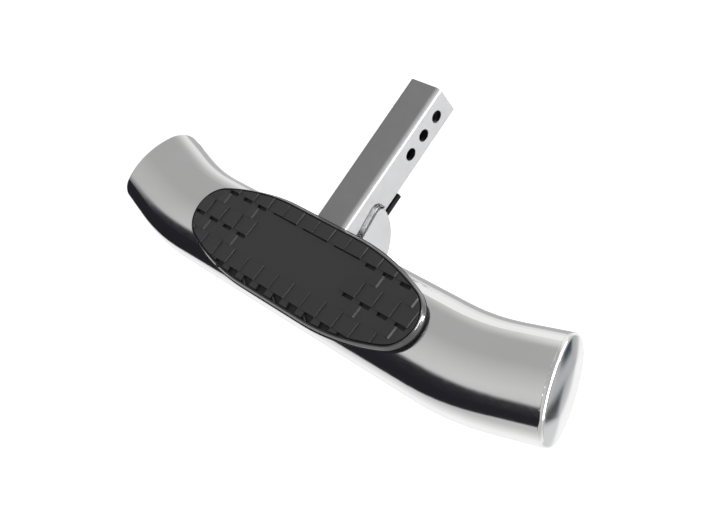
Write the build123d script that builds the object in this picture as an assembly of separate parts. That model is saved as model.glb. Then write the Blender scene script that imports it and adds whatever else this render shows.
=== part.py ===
"""Hitch receiver step: a bent oval step tube with welded end caps, carried on a
hollow square receiver shank by two cradle plates, with a moulded tread pad on top.

Frame: origin on the shank's axis at the middle pin hole, +X to the right along the
step, +Y along the shank towards the vehicle, +Z up. Millimetres.
"""
import math
import os

from build123d import *

# Receiver shank
shank_size = 50.8
shank_wall = 6.35
shank_corner_r = 7.0
shank_inner_r = 1.0
shank_rise = 17.0
pin_hole_d = 16.7
pin_pitch = 29.2
pin_margin = 26.0
pin_to_tube = 221.0
shank_reach = 30.0

# Step tube and its caps
tube_width = 127.0
tube_height = 82.0
tube_side_r = 35.0
tube_wall = 2.0
straight_length = 418.0
bend_radius = 332.0
bend_angle = 15.6
tail_length = 55.0
cap_depth = 8.5
cap_border = 15.0
cap_drop = 4.8
cap_wall = 2.0
cap_crown = 5.0
drain_length = 15.0
drain_height = 5.0
drain_from_end = 20.5

# Cradle plates, stop plate and fillet welds
cradle_thick = 9.5
cradle_below = 7.0
cradle_front = 12.0
cradle_rear = 116.0
cradle_rear_r = 71.0
cradle_top_rise = 20.4
cradle_top_slope = 7.7
cradle_arc_drop = 3.4
cradle_corner_r = 10.0
cradle_toe_r = 3.0
stop_thick = 6.35
stop_rear_to_pin = 75.0
weld_leg = 4.0
weld_toe = 0.2
weld_rise = 2.0
weld_run = 8.0

# Tread pad
pad_length = 393.2
pad_width = 124.4
pad_end_r = 42.2
pad_flat = 110.0
pad_back = 1.2
pad_rise = 12.0
pad_lift = 1.8
pad_edge = 2.2
pad_tuck = 12.0
pad_gap = 0.3
flare_end = 2.4
flare_side = 4.2
rim_width = 0.5
notch_side = 5.5
notch_front = 2.0
groove_width = 1.6
groove_depth = 3.2
tile_pitch = 27.7
tile_phase = 20.0
tile_slant = 0.084
tile_height = 2.0
tile_low_height = 1.2
tile_root = 0.4
row_pitch = 43.0
row_depth = 22.5
row_front = -3.6
tread_recess = 0.2
plain_left = -90.0
plain_right = 76.0
pocket_length = 16.0
pocket_width = 4.6
pocket_depth = 3.4
pocket_inset = 1.0
bar_offset = 15.5
bar_length = 13.5
bar_height = 2.0
bar_run = 1.8
seam_width = 1.6
seam_gap = 12.0
rib_length = 8.5
rib_width = 1.8
rib_angle = 33.0
rib_back = 10.5

# Push clips that hold the pad
clip_width = 8.0
clip_thick = 5.0
clip_head_l = 16.0
clip_head_w = 10.0
clip_head_h = 2.5
clip_barb_w = 10.5
clip_barb_len = 9.0
clip_tip_w = 4.0
clip_clear = 0.2
clip_spots = (-150.0, -75.0, 75.0, 150.0)

# Places that follow from the sizes
tube_y = -pin_to_tube
tube_z = -shank_rise
half_w = tube_width / 2
half_h = tube_height / 2
half_shank = shank_size / 2
straight_half = straight_length / 2
crown_z = tube_z + half_h
shank_far = pin_pitch + pin_margin
shank_near = tube_y + shank_reach


def oval(half_a, half_b, end_r, flat=0.0):
    """Oval face of tangent arcs: flat runs, long shoulder arcs and round ends."""
    reach = half_a - end_r - flat
    side_r = (reach**2 + half_b**2 - end_r**2) / (2 * (half_b - end_r))
    turn = math.atan2(side_r - half_b, reach)
    mid = (turn + math.pi / 2) / 2
    tip_x = half_a - end_r + end_r * math.cos(turn)
    tip_y = end_r * math.sin(turn)
    mid_x = flat + side_r * math.cos(mid)
    mid_y = half_b - side_r + side_r * math.sin(mid)
    edges = []
    for sx in (1, -1):
        edges.append(ThreePointArc((sx * tip_x, tip_y), (sx * half_a, 0), (sx * tip_x, -tip_y)))
        for sy in (1, -1):
            start = (sx * flat, sy * half_b)
            edges.append(ThreePointArc(start, (sx * mid_x, sy * mid_y), (sx * tip_x, sy * tip_y)))
    if flat > 0:
        for sy in (1, -1):
            edges.append(Line((-flat, sy * half_b), (flat, sy * half_b)))
    return make_face(edges)


def tube_oval(grow=0.0):
    return oval(half_w + grow, half_h + grow, tube_side_r + grow)


def pad_oval(inset=0.0):
    return oval(pad_length / 2 - inset, pad_width / 2 - inset, pad_end_r - inset, pad_flat / 2)


def rim_oval(inset=0.0):
    """Oval of the pad's rim, which the lip flares out from, more at the sides than at the ends."""
    half_a = pad_length / 2 - flare_end - inset
    half_b = pad_width / 2 - flare_side - inset
    return oval(half_a, half_b, pad_end_r - flare_end - inset, pad_flat / 2)


def at_tube(x):
    """Plane square to X, centred on the tube, with its own x along +Y and y along +Z."""
    return Plane(origin=(x, tube_y, tube_z), x_dir=(0, 1, 0), z_dir=(1, 0, 0))


def at_pad(z):
    """Level plane at height z, centred on the pad."""
    return Plane(origin=(0, tube_y + pad_back, z))


# Step tube: a straight middle, a bend at each side and short straight tails
turn = math.radians(bend_angle)
tail_dir = Vector(math.cos(turn), math.sin(turn), 0)
tail_side = Vector(-math.sin(turn), math.cos(turn), 0)
bend_end = Vector(
    straight_half + bend_radius * math.sin(turn),
    tube_y + bend_radius * (1 - math.cos(turn)),
    tube_z,
)
tail_end = bend_end + tail_dir * tail_length
ring = tube_oval() - tube_oval(-tube_wall)
bend_axis = Axis((straight_half, tube_y + bend_radius, tube_z), (0, 0, 1))
bend = revolve(at_tube(straight_half) * ring, bend_axis, bend_angle)
tail = extrude(Plane(origin=bend_end, x_dir=tail_side, z_dir=tail_dir) * ring, tail_length)
drain_at = tail_end - tail_dir * drain_from_end
drain_plane = Plane(origin=drain_at, x_dir=tail_dir, z_dir=tail_side)
drain = extrude(drain_plane * SlotOverall(drain_length, drain_height), half_w + tube_wall)
arm = bend + (tail - drain)
step_tube = extrude(at_tube(0) * ring, straight_half, both=True) + arm + mirror(arm, Plane.YZ)
for x in clip_spots:
    slot = Box(clip_width + 2 * clip_clear, clip_thick + 2 * clip_clear, 4 * tube_wall)
    step_tube -= Pos(x, tube_y, crown_z) * slot

# End caps: oval cups with a thick flat crown and a border that falls away to the rim
cap_outer = extrude(tube_oval(), cap_depth)
cap_top = cap_outer.faces().sort_by(Axis.Z)[-1]
cap_outer = chamfer(cap_top.edges(), cap_border, cap_drop, reference=cap_top)
cap_inner = extrude(tube_oval(-cap_wall), cap_depth - cap_crown)
cap = Plane(origin=tail_end, x_dir=tail_side, z_dir=tail_dir) * (cap_outer - cap_inner)
end_cap_right = cap
end_cap_left = mirror(cap, Plane.YZ)

# Receiver shank: square tube, coped over the step tube, with cross holes for the hitch pin
shank_inner = shank_size - 2 * shank_wall
shank_face = RectangleRounded(shank_size, shank_size, shank_corner_r)
shank_face -= RectangleRounded(shank_inner, shank_inner, shank_inner_r)
shank_plane = Plane(origin=(0, shank_near, 0), x_dir=(-1, 0, 0), z_dir=(0, 1, 0))
receiver_shank = extrude(shank_plane * shank_face, shank_far - shank_near)
tube_body = extrude(at_tube(0) * tube_oval(), straight_half, both=True)
receiver_shank -= tube_body
for k in (-1, 0, 1):
    pin_bore = Rot(0, 90, 0) * Cylinder(pin_hole_d / 2, 2 * shank_size)
    receiver_shank -= Pos(0, k * pin_pitch, 0) * pin_bore

# Cradle plates: one on each side of the shank, cut to the oval they carry
floor_v = -half_h - cradle_below
arc_u = cradle_rear - cradle_rear_r
arc_v = cradle_top_rise - cradle_arc_drop
toe_u = arc_u + math.sqrt(cradle_rear_r**2 - (floor_v - arc_v) ** 2)
rear_u = arc_u + math.sqrt(cradle_rear_r**2 - (cradle_top_rise - arc_v) ** 2)
front_v = cradle_top_rise - (rear_u - cradle_front) * math.tan(math.radians(cradle_top_slope))
sweep_low = math.atan2(floor_v - arc_v, toe_u - arc_u)
sweep_mid = (sweep_low + math.atan2(cradle_arc_drop, rear_u - arc_u)) / 2
rear_mid = (arc_u + cradle_rear_r * math.cos(sweep_mid), arc_v + cradle_rear_r * math.sin(sweep_mid))
cradle_face = make_face(
    [
        Line((cradle_front, floor_v), (toe_u, floor_v)),
        ThreePointArc((toe_u, floor_v), rear_mid, (rear_u, cradle_top_rise)),
        Line((rear_u, cradle_top_rise), (cradle_front, front_v)),
        Line((cradle_front, front_v), (cradle_front, floor_v)),
    ]
)
rear_corner = cradle_face.vertices().sort_by_distance((rear_u, cradle_top_rise))[0]
cradle_face = fillet(rear_corner, cradle_corner_r)
toe_corner = cradle_face.vertices().sort_by_distance((cradle_front, floor_v))[0]
cradle_face = fillet(toe_corner, cradle_toe_r)
cradle_right = extrude(at_tube(half_shank) * cradle_face, cradle_thick) - tube_body
cradle_left = mirror(cradle_right, Plane.YZ)

# Stop plate under the shank, between the cradle plates
stop_front = tube_y + cradle_front
stop_length = -stop_rear_to_pin - stop_front
stop_plate = Pos(0, stop_front + stop_length / 2, -half_shank - stop_thick / 2)
stop_plate *= Box(shank_size, stop_length, stop_thick)
stop_plate -= tube_body

# Fillet welds: cradle edge to shank, cradle face to tube, shank side to tube
cradle_prism = extrude(at_tube(half_shank) * cradle_face, cradle_thick)
cradle_grown = offset(cradle_face, weld_rise, kind=Kind.ARC)
edge_bead = extrude(at_tube(half_shank) * cradle_grown, weld_run)
bead_end = edge_bead.faces().sort_by(Axis.X)[-1]
edge_bead = chamfer(bead_end.edges(), weld_rise - weld_toe, weld_run - weld_toe, reference=bead_end)
beside_shank = Pos(half_shank, (tube_y + shank_far) / 2, 0)
beside_shank *= Box(2 * shank_size, shank_far - tube_y, shank_size - 2 * shank_corner_r)
edge_bead = (edge_bead & beside_shank) - cradle_prism - tube_body


def oval_bead(x):
    """Ring of weld round the oval, tapering away along +X from a plate face at x."""
    return extrude(at_tube(x) * tube_oval(weld_leg), weld_leg, taper=45) - tube_body


cradle_bead = oval_bead(half_shank + cradle_thick)
cradle_bead &= extrude(at_tube(half_shank + cradle_thick) * cradle_face, 2 * weld_leg)
shank_bead = (oval_bead(half_shank) & beside_shank) - cradle_prism - edge_bead
keep_rear = Pos(half_shank, shank_near + pin_to_tube / 2, 0) * Box(2 * shank_size, pin_to_tube, shank_size)
shank_bead &= keep_rear


def both_sides(shape):
    return Compound(children=[*shape.solids(), *mirror(shape, Plane.YZ).solids()])


cradle_shank_welds = both_sides(edge_bead)
cradle_tube_welds = both_sides(cradle_bead)
shank_tube_welds = both_sides(shank_bead)

# Tread pad: a lip that flares out from the rim, over a tucked-in body that sits on the tube
pad_top = crown_z + pad_rise
pad_low = crown_z + pad_lift
lip_z = pad_low + pad_edge
pad = extrude(at_pad(pad_low) * pad_oval(), pad_edge)
pad += loft([at_pad(lip_z) * pad_oval(), at_pad(pad_top) * rim_oval()], ruled=True)
pad += extrude(at_pad(pad_low) * pad_oval(pad_tuck), -half_h)

# Groove inside the rim, with the tread's field standing in it
field_inset = rim_width + groove_width
field_z = pad_top - tread_recess
groove_z = pad_top - groove_depth
pad -= extrude(at_pad(groove_z) * rim_oval(rim_width), 2 * groove_depth)
pad += extrude(at_pad(groove_z) * rim_oval(field_inset), field_z - groove_z)

# Tread: rows of tiles that each climb to their right edge, with pockets in front of them
field_reach = pad_length / 2 - flare_end - field_inset
field_front = pad_back - (pad_width / 2 - flare_side - field_inset)
tile_count = int(field_reach / tile_pitch) + 2
edges_x = [tile_phase + k * tile_pitch for k in range(-tile_count, tile_count + 1)]


def row_plane(back):
    """Upright plane across the pad at y = back, shifted along with the tiles' slant."""
    shift = tile_slant * back
    return Plane(origin=(shift, tube_y + back, field_z), x_dir=(1, 0, 0), z_dir=(0, -1, 0))


def run_forward(profile, back, depth):
    """Profile drawn at y = back, run forward by depth along the tiles' slant."""
    path = Vector(-tile_slant, -1, 0)
    return extrude(row_plane(back) * make_face(profile), depth * path.length, dir=path.normalized())


middle = [x for x in edges_x if plain_left < x <= plain_right]
sides = [x for x in edges_x if x not in middle]
doubles = middle[1::2]
tiles = []
pockets = []
for row in (1, 0, -1):
    front = row_front + row * row_pitch
    drift = tile_slant * front
    for x in sides if row == 0 else edges_x:
        high = tile_height if x in sides or x in doubles else tile_low_height
        left = x - tile_pitch
        tooth = Polyline((left, -tile_root), (x, -tile_root), (x, high), (left, 0), close=True)
        tiles.append(run_forward(tooth, front + row_depth, row_depth))
        if row == 1 and x in middle:
            continue
        width = front - field_front if row < 0 else pocket_width
        spot = Pos(x + drift - pocket_inset - pocket_length / 2, tube_y + front - width / 2, field_z)
        pockets.append(spot * Box(pocket_length, width, 2 * pocket_depth))
    if row < 0:
        continue
    for k, x in enumerate(edges_x):
        top = x + bar_offset
        if k % 2 == tile_count % 2 or x in middle and x != middle[-1]:
            continue
        left, right = top - bar_length, top + bar_run
        foot = [(left, -tile_root), (right, -tile_root), (right, 0)]
        bar = Polyline(*foot, (top, bar_height), (left, 0), close=True)
        tiles.append(run_forward(bar, front - pocket_width, row_pitch - row_depth - pocket_width))

# Rear middle: pairs of tiles with a fine seam in front of each pair
seam_length = 2 * tile_pitch - seam_gap
seam_y = row_front + row_pitch - seam_width / 2
for x in doubles:
    spot = Pos(x + tile_slant * seam_y - seam_length / 2, tube_y + seam_y, field_z)
    pockets.append(spot * Box(seam_length, seam_width, 2 * pocket_depth))

field_prism = extrude(at_pad(groove_z) * rim_oval(field_inset), 2 * groove_depth + tile_height)
pad -= (Part() + pockets) & field_prism
pad += (Part() + tiles) & field_prism

# Short slanting ribs that bridge the front groove under every second tile
rib_y = field_front - groove_width / 2
rib_z = (groove_z + field_z) / 2
for x in [doubles[0] - 2 * tile_pitch, *doubles]:
    rib = Rot(0, 0, -rib_angle) * Box(rib_length, rib_width, field_z - groove_z)
    pad += Pos(x + tile_slant * rib_y - rib_back, tube_y + rib_y + rib_width, rib_z) * rib

# Underside: seated over the oval, cleared round the shank, its welds and the clips
pad -= extrude(at_tube(0) * tube_oval(pad_gap), pad_length / 2, both=True)
notch_top = half_shank + 2 * pad_gap
notch = Box(shank_size + 2 * notch_side, pad_width, shank_size, align=(Align.CENTER, Align.MIN, Align.MAX))
pad -= Pos(0, shank_near - notch_front, notch_top) * notch
recess = Box(clip_head_l + 2 * pad_gap, clip_head_w + 2 * pad_gap, 2 * (clip_head_h + pad_gap))
for x in clip_spots:
    pad -= Pos(x, tube_y, crown_z) * recess
step_pad = pad

# Push clips: a flat head on the crown, a stem through the wall and a flat barbed tip below
barb_z = -tube_wall - clip_clear
tip_z = barb_z - clip_barb_len
clip_face = make_face(
    Polyline(
        (clip_width / 2, 0),
        (clip_width / 2, barb_z),
        (clip_barb_w / 2, barb_z),
        (clip_tip_w / 2, tip_z),
        (-clip_tip_w / 2, tip_z),
        (-clip_barb_w / 2, barb_z),
        (-clip_width / 2, barb_z),
        (-clip_width / 2, 0),
        close=True,
    )
)
clip = Box(clip_head_l, clip_head_w, clip_head_h, align=(Align.CENTER, Align.CENTER, Align.MIN))
clip += extrude(Plane.XZ * clip_face, clip_thick / 2, both=True)
pad_clips = Compound(children=[Pos(x, tube_y, crown_z) * clip for x in clip_spots])

nodes = {
    "step_tube": step_tube,
    "end_cap_left": end_cap_left,
    "end_cap_right": end_cap_right,
    "receiver_shank": receiver_shank,
    "cradle_plate_left": cradle_left,
    "cradle_plate_right": cradle_right,
    "stop_plate": stop_plate,
    "cradle_shank_welds": cradle_shank_welds,
    "cradle_tube_welds": cradle_tube_welds,
    "shank_tube_welds": shank_tube_welds,
    "step_pad": step_pad,
    "pad_clips": pad_clips,
}

os.makedirs("parts", exist_ok=True)
for name, shape in nodes.items():
    export_step(shape, f"parts/{name}.step")
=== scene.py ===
import math

import bmesh
import bpy
from mathutils import Matrix, Vector, noise


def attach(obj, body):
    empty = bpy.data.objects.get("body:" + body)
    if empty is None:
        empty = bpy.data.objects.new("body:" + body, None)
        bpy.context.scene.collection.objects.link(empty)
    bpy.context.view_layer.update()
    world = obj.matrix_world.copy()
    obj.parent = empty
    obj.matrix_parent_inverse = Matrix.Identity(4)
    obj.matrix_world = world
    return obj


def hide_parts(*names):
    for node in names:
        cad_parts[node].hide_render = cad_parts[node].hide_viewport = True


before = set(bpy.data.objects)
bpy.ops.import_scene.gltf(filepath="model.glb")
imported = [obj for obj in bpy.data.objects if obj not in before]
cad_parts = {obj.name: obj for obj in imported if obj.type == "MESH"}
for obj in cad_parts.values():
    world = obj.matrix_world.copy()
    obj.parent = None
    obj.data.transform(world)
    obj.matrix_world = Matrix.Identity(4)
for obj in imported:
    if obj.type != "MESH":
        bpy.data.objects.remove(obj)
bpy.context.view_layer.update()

# Sizes of the solids that are dressed here, in metres
HALF_SHANK = 0.0254
SHANK_END = 0.0552
BORE_HALF = 0.01905
HOLE_BAND = 0.009
CRADLE_OUT = HALF_SHANK + 0.0095
FLOOR_Z = -0.065

# Tube: its axis, half sizes and end radius, and the end of its right tail
TUBE_Y = -0.221
TUBE_Z = -0.017
HALF_W = 0.0635
HALF_H = 0.041
END_R = 0.035
TURN = math.radians(15.6)
TAIL_END = Vector((0.35125, -0.19398, -0.017))
TAIL_DIR = Vector((math.cos(TURN), math.sin(TURN), 0))
TAIL_SIDE = Vector((-math.sin(TURN), math.cos(TURN), 0))

# Drain slots in the rear wall: distance from the tube's end, half length and half height of the
# near-black painted shade in and round each slot, and how far across the tube the rear wall starts
DRAIN_BACK = 0.0205
DRAIN_HALF = (0.0087, 0.0037)
DRAIN_REAR = 0.03

# Pad: half length, half width, end radius and half flat, then the flare at its ends and sides
PAD_Y = TUBE_Y + 0.0012
PAD_HALF = (0.1966, 0.0622, 0.0422, 0.055)
PAD_FLARE = (0.0024, 0.0042)
FIELD_Z = 0.0358
LIP_LOW = 0.0258
LIP_EDGE = 0.028
LIP_TOP = 0.036

# Weld beads: the outer toe on the cradle's edge, and where painted shade speckles start and are full
# at each end
TOE_OUT = (0.0312, 0.0324)
SPECKLE_SHADE_FRONT = (-0.139, -0.147)
SPECKLE_SHADE_REAR = (-0.1135, -0.1095)

EVEN = (1.0, 1.0, 1.0)


# Node helpers
def add(tree, kind, values=None, **settings):
    """Add a node, set its options and then its input values."""
    made = tree.nodes.new(kind)
    for key, value in settings.items():
        setattr(made, key, value)
    for key, value in (values or {}).items():
        made.inputs[key].default_value = value
    return made


def grain(tree, stretch, scale, detail=3.0, rough=0.5):
    """Noise in the part's own coordinates, stretched along its axes."""
    coords = add(tree, "ShaderNodeTexCoord")
    mapping = add(tree, "ShaderNodeMapping", {"Scale": stretch})
    made = add(tree, "ShaderNodeTexNoise", {"Scale": scale, "Detail": detail, "Roughness": rough})
    tree.links.new(coords.outputs["Object"], mapping.inputs["Vector"])
    tree.links.new(mapping.outputs["Vector"], made.inputs["Vector"])
    return made.outputs[0]


def remap(tree, source, low, high, to_low, to_high, smooth=False):
    """Map a value's range on to another range."""
    values = {"From Min": low, "From Max": high, "To Min": to_low, "To Max": to_high}
    made = add(tree, "ShaderNodeMapRange", values)
    made.interpolation_type = "SMOOTHSTEP" if smooth else "LINEAR"
    tree.links.new(source, made.inputs["Value"])
    return made.outputs["Result"]


def fade(tree, source, start, full, smooth=False):
    """A share that goes from 0 at one value to 1 at another."""
    return remap(tree, source, start, full, 0.0, 1.0, smooth)


def blend(tree, share, first, second):
    """Mix two colours by a share; each is a plain colour or another node's output."""
    made = add(tree, "ShaderNodeMix", data_type="RGBA")
    tree.links.new(share, made.inputs["Factor"])
    for socket, value in ((made.inputs[6], first), (made.inputs[7], second)):
        if isinstance(value, tuple):
            socket.default_value = (*value, 1.0)
        else:
            tree.links.new(value, socket)
    return made.outputs[2]


def calc(tree, operation, first, second=0.0):
    """One step of arithmetic; each side is a plain number or another node's output."""
    made = add(tree, "ShaderNodeMath", operation=operation)
    for socket, value in zip(made.inputs, (first, second)):
        if isinstance(value, float):
            socket.default_value = value
        else:
            tree.links.new(value, socket)
    return made.outputs[0]


def both(tree, first, second):
    """A share where two shares meet."""
    return calc(tree, "MULTIPLY", first, second)


def along_axis(tree, x, y, axis):
    """How far a point lies along a level direction."""
    return calc(tree, "ADD", both(tree, x, axis.x), both(tree, y, axis.y))


def place(tree):
    """The x, y and z of a point in the part's own coordinates."""
    coords = add(tree, "ShaderNodeTexCoord")
    made = add(tree, "ShaderNodeSeparateXYZ")
    tree.links.new(coords.outputs["Object"], made.inputs[0])
    return made.outputs


def surface(name, roughness, metallic=0.0):
    """A new material with its node tree and its main shader."""
    made = bpy.data.materials.new(name)
    made.use_nodes = True
    bsdf = made.node_tree.nodes["Principled BSDF"]
    bsdf.inputs["Metallic"].default_value = metallic
    bsdf.inputs["Roughness"].default_value = roughness
    return made, made.node_tree, bsdf


def paint(tree, bsdf, colour):
    """Give a surface its colour."""
    tree.links.new(colour, bsdf.inputs["Base Color"])


def polish(tree, bsdf, pattern, low, high):
    """Let a surface's roughness follow a pattern, between two levels."""
    tree.links.new(remap(tree, pattern, 0.3, 0.7, low, high), bsdf.inputs["Roughness"])


def bump(tree, bsdf, height, strength, distance, edge=0.0):
    """Give a surface fine relief, over edges that are eased by a small radius."""
    made = add(tree, "ShaderNodeBump", {"Strength": strength, "Distance": distance})
    tree.links.new(height, made.inputs["Height"])
    if edge:
        eased = add(tree, "ShaderNodeBevel", {"Radius": edge}, samples=6)
        tree.links.new(eased.outputs["Normal"], made.inputs["Normal"])
    tree.links.new(made.outputs["Normal"], bsdf.inputs["Normal"])


# Satin polished stainless of the tube and its caps, with painted shade, near black, in and round the
# drain slots
stainless, tree, bsdf = surface("stainless", 0.12, 1.0)
lines = grain(tree, (12.0, 260.0, 260.0), 6.0)
cloud = grain(tree, EVEN, 14.0)
x, y, z = place(tree)
out_x = calc(tree, "SUBTRACT", calc(tree, "ABSOLUTE", x), TAIL_END.x)
out_y = calc(tree, "SUBTRACT", y, TAIL_END.y)
along = along_axis(tree, out_x, out_y, TAIL_DIR)
across = along_axis(tree, out_x, out_y, TAIL_SIDE)
from_slot = calc(tree, "ABSOLUTE", calc(tree, "ADD", along, DRAIN_BACK))
from_mid = calc(tree, "ABSOLUTE", calc(tree, "SUBTRACT", z, TUBE_Z))
in_length = calc(tree, "LESS_THAN", from_slot, DRAIN_HALF[0])
in_height = calc(tree, "LESS_THAN", from_mid, DRAIN_HALF[1])
at_rear = calc(tree, "GREATER_THAN", across, DRAIN_REAR)
# Painted shade: near black in and round each drain slot on the rear wall
painted_shade = both(tree, both(tree, in_length, in_height), at_rear)
steel = blend(tree, cloud, (0.80, 0.80, 0.79), (0.86, 0.86, 0.86))
paint(tree, bsdf, blend(tree, painted_shade, steel, (0.01, 0.01, 0.01)))
polish(tree, bsdf, lines, 0.09, 0.15)
bump(tree, bsdf, lines, 0.03, 0.0002)

# Silver coat of the shank and cradle plates, with painted shade, near black, inside the shank and
# its holes
shank_steel, tree, bsdf = surface("shank_steel", 0.34, 0.2)
lines = grain(tree, (40.0, 6.0, 40.0), 18.0)
cloud = grain(tree, EVEN, 40.0, 5.0)
x, y, z = place(tree)
x = calc(tree, "ABSOLUTE", x)
z = calc(tree, "ABSOLUTE", z)
# Painted shade: near black in the shank's bore and on the walls of its pin holes, short of the open
# end
bore = calc(tree, "LESS_THAN", calc(tree, "MAXIMUM", x, z), BORE_HALF + 0.0003)
in_band = calc(tree, "LESS_THAN", z, HOLE_BAND)
in_wall = calc(tree, "LESS_THAN", x, HALF_SHANK - 0.0004)
painted_shade = calc(tree, "MAXIMUM", bore, both(tree, in_band, in_wall))
painted_shade = both(tree, painted_shade, calc(tree, "LESS_THAN", y, SHANK_END - 0.0002))
coat = blend(tree, cloud, (0.29, 0.29, 0.294), (0.335, 0.335, 0.34))
paint(tree, bsdf, blend(tree, painted_shade, coat, (0.02, 0.02, 0.022)))
polish(tree, bsdf, lines, 0.30, 0.38)
bump(tree, bsdf, lines, 0.06, 0.0003, 0.0005)

# Satin near-black surface of the stop plate
stop_paint, tree, bsdf = surface("stop_paint", 0.4)
bsdf.inputs["Specular IOR Level"].default_value = 0.12
cloud = grain(tree, EVEN, 300.0, 4.0)
paint(tree, bsdf, blend(tree, cloud, (0.004, 0.004, 0.004), (0.008, 0.008, 0.009)))
polish(tree, bsdf, cloud, 0.34, 0.48)
bump(tree, bsdf, cloud, 0.08, 0.0003, 0.0005)

# Weld beads, bright; painted shade darkens each toe in a line and speckles the cradle beads' ends
weld_metal, tree, bsdf = surface("weld_metal", 0.38, 0.5)
specks = grain(tree, EVEN, 700.0, 4.0, 0.7)
stains = grain(tree, EVEN, 160.0, 3.0)
x, y, z = place(tree)
x = calc(tree, "ABSOLUTE", x)
# Painted shade: a dark line along the bead's inner and outer toes
inner = remap(tree, x, HALF_SHANK + 0.0012, HALF_SHANK + 0.0004, 0.0, 0.9)
outer = remap(tree, x, *TOE_OUT, 0.0, 0.9)
outer = both(tree, outer, calc(tree, "LESS_THAN", x, CRADLE_OUT - 0.0002))
toe_shade = calc(tree, "MAXIMUM", inner, outer)
# Painted shade: dark speckles at both ends of the cradle's upper beads
speckle_shade = calc(tree, "MAXIMUM", fade(tree, y, *SPECKLE_SHADE_FRONT), fade(tree, y, *SPECKLE_SHADE_REAR))
speckle_shade = both(tree, speckle_shade, calc(tree, "GREATER_THAN", z, TUBE_Z + 0.004))
speckle_shade = both(tree, speckle_shade, fade(tree, specks, 0.38, 0.5))
worn = blend(tree, fade(tree, specks, 0.40, 0.56), (0.30, 0.30, 0.31), (0.82, 0.82, 0.82))
worn = blend(tree, remap(tree, stains, 0.35, 0.6, 0.0, 0.5), worn, (0.78, 0.78, 0.78))
paint(tree, bsdf, blend(tree, calc(tree, "MAXIMUM", toe_shade, speckle_shade), worn, (0.02, 0.02, 0.022)))
bump(tree, bsdf, specks, 0.5, 0.0006)

# Black rubber of the tread pad, with painted shade, near black, on the floors of its grooves and
# pockets
pad_rubber, tree, bsdf = surface("pad_rubber", 0.5)
fine = grain(tree, EVEN, 1500.0, 2.0)
cloud = grain(tree, EVEN, 45.0, 4.0)
_, _, z = place(tree)
facing = add(tree, "ShaderNodeNewGeometry")
level = add(tree, "ShaderNodeSeparateXYZ")
tree.links.new(facing.outputs["True Normal"], level.inputs[0])
# Painted shade: near black on up-facing floors below the tread field
pocket_shade = calc(tree, "LESS_THAN", z, FIELD_Z - 0.0012)
pocket_shade = both(tree, pocket_shade, calc(tree, "GREATER_THAN", level.outputs[2], 0.8))
worn = blend(tree, cloud, (0.040, 0.040, 0.042), (0.052, 0.052, 0.054))
paint(tree, bsdf, blend(tree, pocket_shade, worn, (0.006, 0.006, 0.006)))
polish(tree, bsdf, cloud, 0.44, 0.56)
bump(tree, bsdf, fine, 0.25, 0.0002, 0.0004)

# Glossy moulded skin of the pad's lip
pad_lip, tree, bsdf = surface("pad_lip", 0.25)
bsdf.inputs["Coat Weight"].default_value = 0.7
bsdf.inputs["Coat Roughness"].default_value = 0.16
fine = grain(tree, EVEN, 900.0, 2.0)
cloud = grain(tree, EVEN, 60.0, 4.0)
paint(tree, bsdf, blend(tree, cloud, (0.030, 0.030, 0.031), (0.042, 0.042, 0.043)))
polish(tree, bsdf, cloud, 0.26, 0.32)
bump(tree, bsdf, fine, 0.015, 0.0002)

# Matt rubber of the hem below the lip, painted near black as shade, darker than the tread's rubber
shaded_hem, tree, bsdf = surface("shaded_hem", 0.7)
bsdf.inputs["Specular IOR Level"].default_value = 0.1
cloud = grain(tree, EVEN, 200.0, 4.0)
# Painted shade: the hem's rubber is far darker than the tread's
paint(tree, bsdf, blend(tree, cloud, (0.005, 0.005, 0.005), (0.012, 0.012, 0.012)))
polish(tree, bsdf, cloud, 0.6, 0.8)

# Black nylon of the clips
clip_nylon, tree, bsdf = surface("clip_nylon", 0.4)
cloud = grain(tree, EVEN, 120.0)
paint(tree, bsdf, blend(tree, cloud, (0.012, 0.012, 0.012), (0.022, 0.022, 0.022)))

DRESS = {
    "step_tube": stainless,
    "end_cap_left": stainless,
    "end_cap_right": stainless,
    "receiver_shank": shank_steel,
    "cradle_plate_left": shank_steel,
    "cradle_plate_right": shank_steel,
    "stop_plate": stop_paint,
    "cradle_shank_welds": weld_metal,
    "cradle_tube_welds": weld_metal,
    "shank_tube_welds": weld_metal,
    "step_pad": pad_rubber,
    "pad_clips": clip_nylon,
}
for node_name, skin in DRESS.items():
    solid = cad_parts[node_name]
    solid.data.materials.clear()
    solid.data.materials.append(skin)


def skin_rings(name, rings, skin, looped=False):
    """Skin a row of equal rings of points into one smooth piece that rides on the part."""
    made = bmesh.new()
    rows = [[made.verts.new(point) for point in ring] for ring in rings]
    if looped:
        rows.append(rows[0])
    for near, far in zip(rows, rows[1:]):
        for k in range(len(near)):
            after = (k + 1) % len(near)
            made.faces.new((near[k], near[after], far[after], far[k]))
    for row in () if looped else (rows[0], rows[-1]):
        made.faces.new(row)
    bmesh.ops.recalc_face_normals(made, faces=made.faces)
    for face in made.faces:
        face.smooth = True
    mesh = bpy.data.meshes.new(name)
    made.to_mesh(mesh)
    made.free()
    piece = bpy.data.objects.new(name, mesh)
    bpy.context.scene.collection.objects.link(piece)
    mesh.materials.append(skin)
    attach(piece, "root")
    return piece


# Outline of the tube: an oval of four arcs
SIDE_R = ((HALF_W - END_R) ** 2 + HALF_H**2 - END_R**2) / (2 * (HALF_H - END_R))
TIP = math.atan2(SIDE_R - HALF_H, HALF_W - END_R)


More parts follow.
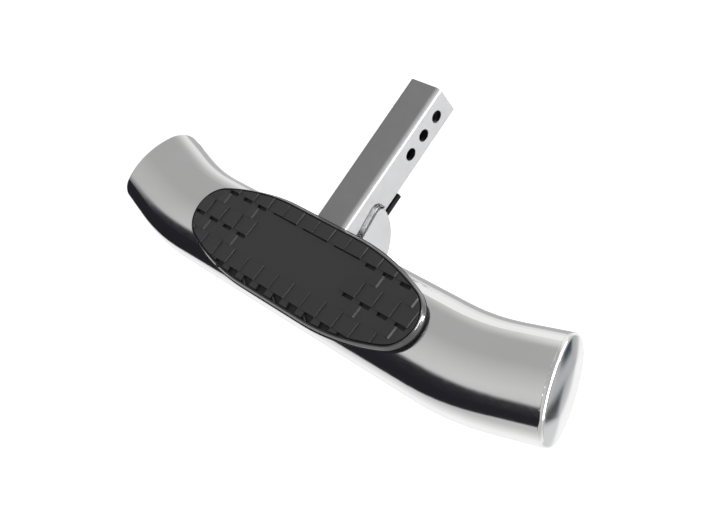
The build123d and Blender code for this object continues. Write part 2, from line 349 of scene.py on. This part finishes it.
def oval_ring(inset, end_steps=40, side_steps=20):
    """Points of the tube's oval, moved inwards by an inset, as pairs across and up."""
    arcs = (
        (HALF_W - END_R, 0.0, END_R, -TIP, TIP, end_steps),
        (0.0, HALF_H - SIDE_R, SIDE_R, TIP, math.pi - TIP, side_steps),
        (END_R - HALF_W, 0.0, END_R, math.pi - TIP, math.pi + TIP, end_steps),
        (0.0, SIDE_R - HALF_H, SIDE_R, math.pi + TIP, 2 * math.pi - TIP, side_steps),
    )
    ring = []
    for mid_a, mid_b, radius, first, last, steps in arcs:
        for k in range(steps):
            angle = first + (last - first) * k / steps
            spot_a = mid_a + (radius - inset) * math.cos(angle)
            spot_b = mid_b + (radius - inset) * math.sin(angle)
            ring.append((spot_a, spot_b))
    return ring


# End caps: a rounded rim that runs on into a shallow dome
RIM_START = 0.0005
RIM_R = 0.0050
RIM_STEPS = 14
DOME_SLOPE = math.radians(9)
DOME_STEPS = 12
DOME_END = END_R - 0.0006
RIM_TURN = math.pi / 2 - DOME_SLOPE
RIM_INSET = RIM_R * (1 - math.cos(RIM_TURN))
RIM_HEIGHT = RIM_START + RIM_R * math.sin(RIM_TURN)


def cap_profile():
    """Pairs of inset and height from the tube's end to the middle of the cap."""
    pairs = [(0.0, 0.0)]
    for k in range(RIM_STEPS + 1):
        angle = RIM_TURN * k / RIM_STEPS
        pairs.append((RIM_R * (1 - math.cos(angle)), RIM_START + RIM_R * math.sin(angle)))
    reach = HALF_H - RIM_INSET
    for k in range(1, DOME_STEPS + 1):
        step = (DOME_END - RIM_INSET) * k / DOME_STEPS
        climb = math.tan(DOME_SLOPE) * (step - step**2 / (2 * reach))
        pairs.append((RIM_INSET + step, RIM_HEIGHT + climb))
    return pairs


def cap_rings(side):
    """Rings of one end cap; side is 1 at the right end and -1 at the left."""
    rings = []
    for inset, height in cap_profile():
        ring = []
        for across, up in oval_ring(inset):
            spot = TAIL_END + TAIL_SIDE * across + TAIL_DIR * height
            ring.append(Vector((side * spot.x, spot.y, spot.z + up)))
        rings.append(ring)
    return rings


for side, end in ((1, "right"), (-1, "left")):
    dome = skin_rings(f"cap_dome_{end}", cap_rings(side), stainless)
    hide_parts(f"end_cap_{end}")


# Pad lip: a glossy band on the flare round the pad, above a matt hem painted near black as shade
PAD_END_STEPS = 48
PAD_SIDE_STEPS = 24


def pad_ring(end_in, side_in):
    """Points of the pad's oval, drawn in by one amount at its ends and another at its sides."""
    half_a, half_b, end_r, half_flat = PAD_HALF
    half_a -= end_in
    half_b -= side_in
    end_r -= end_in
    mid = half_a - end_r
    reach_a = mid - half_flat
    side_r = (reach_a**2 + half_b**2 - end_r**2) / (2 * (half_b - end_r))
    tip = math.atan2(side_r - half_b, reach_a)
    arcs = (
        (mid, 0.0, end_r, -tip, tip, PAD_END_STEPS),
        (half_flat, half_b - side_r, side_r, tip, math.pi / 2, PAD_SIDE_STEPS),
        (-half_flat, half_b - side_r, side_r, math.pi / 2, math.pi - tip, PAD_SIDE_STEPS),
    )
    ring = []
    for flip in (1, -1):
        for mid_a, mid_b, radius, first, last, steps in arcs:
            for k in range(steps):
                angle = first + (last - first) * k / steps
                spot_a = mid_a + radius * math.cos(angle)
                spot_b = mid_b + radius * math.sin(angle)
                ring.append((flip * spot_a, flip * spot_b))
    return ring


def flare_ring(shares, proud):
    """Points round the flare, each at its own share of the way up, stood off by a small amount."""
    end_in, side_in = PAD_FLARE
    low = pad_ring(-proud, -proud)
    high = pad_ring(end_in - proud, side_in - proud)
    ring = []
    for (low_a, low_b), (high_a, high_b), share in zip(low, high, shares):
        spot_a = low_a + (high_a - low_a) * share
        spot_b = low_b + (high_b - low_b) * share
        ring.append(Vector((spot_a, PAD_Y + spot_b, LIP_EDGE + (LIP_TOP - LIP_EDGE) * share)))
    return ring


def level_ring(inset, height):
    """Points round the pad at one inset and one height."""
    return [Vector((a, PAD_Y + b, height)) for a, b in pad_ring(inset, inset)]


# Where the band and the hem meet: a third of the way up along the sides, low down at the ends
PART_SIDE = 0.34
PART_DROP = 0.30
PART_FROM = 0.10
PART_RUN = 0.07
BAND_TOP = 0.95
SUNK = -0.0006
parting = []
for a, b in pad_ring(0.0, 0.0):
    near_end = min(1.0, max(0.0, (abs(a) - PART_FROM) / PART_RUN))
    parting.append(PART_SIDE - PART_DROP * near_end**2 * (3 - 2 * near_end))


def lip_rings():
    """The lip's glossy upper band, round its section."""
    rings = [flare_ring(parting, SUNK), flare_ring(parting, 0.0001)]
    for part in (0.06, 0.25, 0.5, 0.75, 0.93):
        rings.append(flare_ring([low + (BAND_TOP - low) * part for low in parting], 0.0004))
    top = [BAND_TOP] * len(parting)
    return rings + [flare_ring(top, 0.0001), flare_ring(top, SUNK)]


def hem_rings():
    """The matt hem under the lip, near black as painted shade, round its section."""
    rings = [level_ring(-SUNK, LIP_LOW + 0.0002), level_ring(-0.0001, LIP_LOW)]
    rings += [level_ring(-0.0003, LIP_LOW + 0.0003), level_ring(-0.0003, LIP_EDGE - 0.0001)]
    for part in (0.15, 0.55, 1.05):
        rings.append(flare_ring([high * part for high in parting], 0.0003))
    return rings + [flare_ring([high * 1.06 for high in parting], SUNK)]


skin_rings("pad_lip", lip_rings(), pad_lip, True)
skin_rings("shaded_hem", hem_rings(), shaded_hem, True)


# Weld beads: rippled fillets that run along a corner and start and end small
RIPPLE = 0.0026
FILLET = 0.0036
EDGE_RISE = 0.0018
EDGE_RUN = 0.0074
BEAD_STEPS = 8
BEAD_START = 0.35
BEAD_GROWTH = 0.22


def bead_rings(path, wall_x, rise, run_out, side, seed):
    """Rings of a bead along pairs (point, outward direction) in the plane x = wall_x."""
    rings = []
    run = 0.0
    last = path[0][0]
    for k, (spot, out) in enumerate(path):
        run += (spot - last).length
        last = spot
        wave = abs(math.sin(math.pi * run / RIPPLE))
        from_end = min(k, len(path) - 1 - k)
        ease = min(1.0, BEAD_START + from_end * BEAD_GROWTH)
        ring = [Vector((side * wall_x, spot.y, spot.z))]
        for j in range(BEAD_STEPS + 1):
            angle = math.pi / 2 * j / BEAD_STEPS
            rough = noise.noise(Vector((run * 420 + seed, j * 0.7, seed * 3.1)))
            full = ease * (0.84 + 0.2 * wave + 0.16 * rough)
            point = spot + out * rise * full * math.cos(angle)
            reach = run_out * full * math.sin(angle)
            ring.append(Vector((side * (wall_x + reach), point.y, point.z)))
        rings.append(ring)
    return rings


def outward(degrees):
    """A direction in the plane of a cradle plate, turned from straight back towards up."""
    angle = math.radians(degrees)
    return Vector((0, math.cos(angle), math.sin(angle)))


def oval_path(first, last, steps):
    """Points on the rear end arc of the tube, between two angles in degrees."""
    mid = Vector((0, TUBE_Y + HALF_W - END_R, TUBE_Z))
    path = []
    for k in range(steps + 1):
        out = outward(first + (last - first) * k / steps)
        path.append((mid + out * END_R, out))
    return path


def cradle_path():
    """Points along the top edge, rear corner and rear arc of a cradle plate."""
    slope = math.radians(7.7)
    up = Vector((0, -math.sin(slope), math.cos(slope)))
    along = Vector((0, math.cos(slope), math.sin(slope)))
    corner = Vector((0, TUBE_Y + 0.11592, TUBE_Z + 0.0204))
    corner_r = 0.010
    arc_mid = Vector((0, TUBE_Y + 0.045, TUBE_Z + 0.017))
    arc_r = 0.071
    edge_start = 0.052
    edge_end = corner_r * 0.93
    edge_steps = 60
    turn_steps = 16
    path = []
    for k in range(edge_steps + 1):
        back = edge_start - (edge_start - edge_end) * k / edge_steps
        path.append((corner - along * back, up))
    turn_mid = corner - along * edge_end - up * corner_r
    for k in range(1, turn_steps + 1):
        out = outward(97.7 - 94.0 * k / turn_steps)
        path.append((turn_mid + out * corner_r, out))
    for k in range(1, turn_steps + 1):
        out = outward(-2.5 - 12.0 * k / turn_steps)
        path.append((arc_mid + out * arc_r, out))
    return path


for side, end in ((1, "right"), (-1, "left")):
    beads = (
        ("edge_bead", cradle_path(), HALF_SHANK, EDGE_RISE, EDGE_RUN, "cradle_shank_welds", 1.3),
        ("plate_bead", oval_path(-64, 21, 90), CRADLE_OUT, FILLET, FILLET, "cradle_tube_welds", 5.7),
        ("shank_bead", oval_path(33, 66, 40), HALF_SHANK, FILLET, FILLET, "shank_tube_welds", 9.2),
    )
    for stem, path, wall_x, rise, run_out, node_name, seed in beads:
        rings = bead_rings(path, wall_x, rise, run_out, side, seed + side)
        bead = skin_rings(f"{stem}_{end}", rings, weld_metal)
        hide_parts(node_name)


def panel(name, corners):
    """A flat four-cornered piece of the stage, with an empty node tree for its material."""
    mesh = bpy.data.meshes.new(name)
    mesh.from_pydata(corners, [], [(0, 1, 2, 3)])
    made = bpy.data.objects.new(name, mesh)
    bpy.context.scene.collection.objects.link(made)
    skin = bpy.data.materials.new(f"{name}_white")
    skin.use_nodes = True
    skin.node_tree.nodes.clear()
    mesh.materials.append(skin)
    return made, skin.node_tree


# Floor, with the object's shadow on white; mirrors see the studio's pale ground in its place
REACH = 6.0
floor_corners = []
for x, y in ((-REACH, -REACH), (REACH, -REACH), (REACH, REACH), (-REACH, REACH)):
    floor_corners.append((x, y, FLOOR_Z))
floor, tree = panel("floor", floor_corners)
floor.visible_glossy = False
matte = add(tree, "ShaderNodeBsdfDiffuse", {"Color": (0.85, 0.85, 0.85, 1.0)})
lift = add(tree, "ShaderNodeEmission")
ray = add(tree, "ShaderNodeLightPath")
joined = add(tree, "ShaderNodeAddShader")
out = add(tree, "ShaderNodeOutputMaterial")
tree.links.new(both(tree, ray.outputs["Is Camera Ray"], 0.7), lift.inputs["Strength"])
tree.links.new(matte.outputs[0], joined.inputs[0])
tree.links.new(lift.outputs[0], joined.inputs[1])
tree.links.new(joined.outputs[0], out.inputs["Surface"])

# White card behind, soft at its top and left edges
CARD_Y = 1.2
card_corners = []
for x, z in ((-1.4, -0.06), (1.2, -0.06), (1.2, 1.5), (-1.4, 1.5)):
    card_corners.append((x, CARD_Y, z))
rear_card, tree = panel("rear_card", card_corners)
rear_card.visible_camera = False
x, _, z = place(tree)
soft = both(tree, fade(tree, x, -1.25, -0.85, True), fade(tree, z, 1.35, 0.75, True))
bright = add(tree, "ShaderNodeEmission", {"Color": (1.0, 1.0, 1.0, 1.0), "Strength": 1.0})
clear = add(tree, "ShaderNodeBsdfTransparent")
mixed = add(tree, "ShaderNodeMixShader")
out = add(tree, "ShaderNodeOutputMaterial")
tree.links.new(soft, mixed.inputs[0])
tree.links.new(clear.outputs[0], mixed.inputs[1])
tree.links.new(bright.outputs[0], mixed.inputs[2])
tree.links.new(mixed.outputs[0], out.inputs["Surface"])

# Studio: a dark opening in front, grey overhead, white low down and to the right
world = bpy.data.worlds.new("studio")
bpy.context.scene.world = world
world.use_nodes = True
tree = world.node_tree
tree.nodes.clear()
coords = add(tree, "ShaderNodeTexCoord")


def towards(direction):
    """How far a ray looks towards a direction."""
    made = add(tree, "ShaderNodeVectorMath", {1: direction}, operation="DOT_PRODUCT")
    tree.links.new(coords.outputs["Generated"], made.inputs[0])
    return made.outputs["Value"]


up = towards((0, 0, 1))
right = towards((1, 0, 0))
front_top = fade(tree, towards((0, -0.8, 0.55)), 0.25, 0.7)
overhead = blend(tree, front_top, (0.445,) * 3, (0.66,) * 3)
low_right = both(tree, fade(tree, right, 0.3, 0.5), fade(tree, up, 0.75, 0.6))
overhead = blend(tree, low_right, overhead, (1.0,) * 3)
sky = blend(tree, fade(tree, up, -0.25, 0.5, True), (0.92,) * 3, overhead)
opening = fade(tree, towards((-0.121, -0.984, -0.132)), 0.33, 0.38, True)
opening = both(tree, opening, fade(tree, right, 0.5, 0.1, True))
sky = blend(tree, opening, sky, (0.018, 0.017, 0.022))
ground = blend(tree, fade(tree, up, 0.1, -0.6), (0.58,) * 3, (1.05,) * 3)
below = fade(tree, towards((-0.686, 0.211, 0.6955)), 0.16, 0.13, True)
sky = blend(tree, below, sky, ground)

# Grey and dark cards: direction, where each starts, where it is full, and its tone
CARDS = (
    ((-0.58, 0.24, -0.778), 0.80, 0.97, (0.66, 0.66, 0.66)),
    ((-0.56, 0.66, -0.50), 0.945, 0.99, (0.50, 0.50, 0.51)),
    ((0.70, 0.45, -0.555), 0.78, 0.86, (0.49, 0.495, 0.51)),
    ((0.70, 0.45, -0.555), 0.94, 0.99, (0.56, 0.57, 0.58)),
    ((0.429, 0.484, -0.763), 0.9958, 0.9988, (0.01, 0.02, 0.05)),
)
for direction, start, full, tone in CARDS:
    sky = blend(tree, fade(tree, towards(direction), start, full, True), sky, tone)

# A dark streak low on the right, with a pale card in front of it
aside = towards((-0.041, 0.938, 0.344))
pale = both(tree, fade(tree, aside, -0.02, -0.07, True), fade(tree, right, 0.2, 0.3))
pale = both(tree, pale, fade(tree, up, -0.6, -0.72))
sky = blend(tree, pale, sky, (0.72, 0.73, 0.74))
streak = fade(tree, calc(tree, "ABSOLUTE", aside), 0.036, 0.016, True)
streak = both(tree, streak, fade(tree, towards((0.475, 0.318, -0.82)), 0.988, 0.995, True))
sky = blend(tree, streak, sky, (0.015, 0.015, 0.02))

# White where the camera looks past the floor
ray = add(tree, "ShaderNodeLightPath")
sky = blend(tree, ray.outputs["Is Camera Ray"], sky, (1.0, 1.0, 1.0))
back = add(tree, "ShaderNodeBackground")
out = add(tree, "ShaderNodeOutputWorld")
tree.links.new(sky, back.inputs["Color"])
tree.links.new(back.outputs[0], out.inputs["Surface"])

# Key light: a low, wide, soft rectangle at the right
KEY_SPOT = Vector((1.5, 0.75, 0.08))
KEY_AIM = Vector((0.05, -0.15, 0.0))
key_light = bpy.data.lights.new("key", "AREA")
key_light.shape = "RECTANGLE"
key_light.size = 2.0
key_light.size_y = 0.26
key_light.energy = 82.0
key = bpy.data.objects.new("key", key_light)
bpy.context.scene.collection.objects.link(key)
key.location = KEY_SPOT
key.rotation_euler = (KEY_AIM - KEY_SPOT).to_track_quat("-Z", "Y").to_euler()

# Camera
eye = bpy.data.cameras.new("eye")
eye.sensor_fit = "HORIZONTAL"
eye.sensor_width = 36.0
eye.lens = 51.0818
eye.dof.use_dof = False
camera = bpy.data.objects.new("eye", eye)
bpy.context.scene.collection.objects.link(camera)
camera.matrix_world = Matrix(
    (
        (0.702436, -0.379408, 0.602191, 0.79509),
        (0.555926, 0.820791, -0.131332, -0.33869),
        (-0.444444, 0.427026, 0.787476, 0.97171),
        (0.0, 0.0, 0.0, 1.0),
    )
)
bpy.context.scene.camera = camera
bpy.context.scene.view_settings.view_transform = "Standard"
